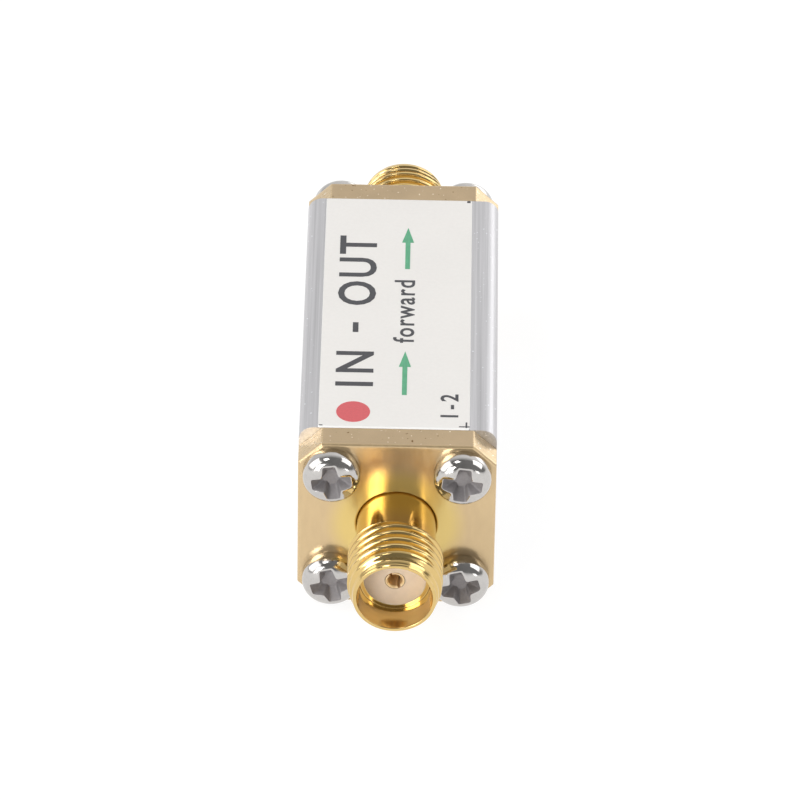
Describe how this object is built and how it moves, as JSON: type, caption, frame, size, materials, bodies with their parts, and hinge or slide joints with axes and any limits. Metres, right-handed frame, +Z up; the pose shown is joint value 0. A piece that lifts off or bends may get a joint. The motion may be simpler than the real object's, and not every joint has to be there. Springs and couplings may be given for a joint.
{
  "type": "coaxial rf isolator",
  "caption": "Small in-line coaxial isolator: square aluminium tube with gold-plated end plates, pan head screws and a threaded socket jack at each end, passing signals one way only.",
  "frame": {"origin": "on the surface that the isolator lies on, under the middle of the tube", "axes": "+Y along the jacks' axis from the input jack to the output jack, +Z up through the label"},
  "size_m": [0.0132, 0.0458, 0.0133],
  "materials": {
    "extruded_aluminium": "satin, with fine lines along the extrusion",
    "gold_plated_plate": "pale gold plating, glossy faces and matt cut edges",
    "nickel_plated_steel": "bright nickel plating",
    "gold_plated_jack": "polished gold plating",
    "fluoropolymer": "waxy white",
    "gold_plated_contact": "gold plating",
    "label_film": "satin printed film",
    "board_laminate": "glass laminate with solder mask",
    "copper_line": "bare copper",
    "chip_resistor": "glazed ceramic",
    "plated_steel": "plated mild steel",
    "ferrite": "sintered, matt"
  },
  "bodies": {
    "root": {"housing_tube": "extruded_aluminium", "input_end_plate": "gold_plated_plate", "output_end_plate": "gold_plated_plate", "input_plate_screws": "nickel_plated_steel", "output_plate_screws": "nickel_plated_steel", "input_connector_shell": "gold_plated_jack", "input_connector_insulator": "fluoropolymer", "input_centre_contact": "gold_plated_contact", "output_connector_shell": "gold_plated_jack", "output_connector_insulator": "fluoropolymer", "output_centre_contact": "gold_plated_contact", "label": "label_film", "carrier_board": "board_laminate", "input_strip": "copper_line", "output_strip": "copper_line", "load_strip": "copper_line", "load_resistor": "chip_resistor", "isolator_cup": "plated_steel", "lower_ferrite": "ferrite", "junction_conductor": "copper_line", "upper_ferrite": "ferrite", "pole_plate": "plated_steel", "bias_magnet": "ferrite", "isolator_lid": "plated_steel"}
  },
  "joints": []
}
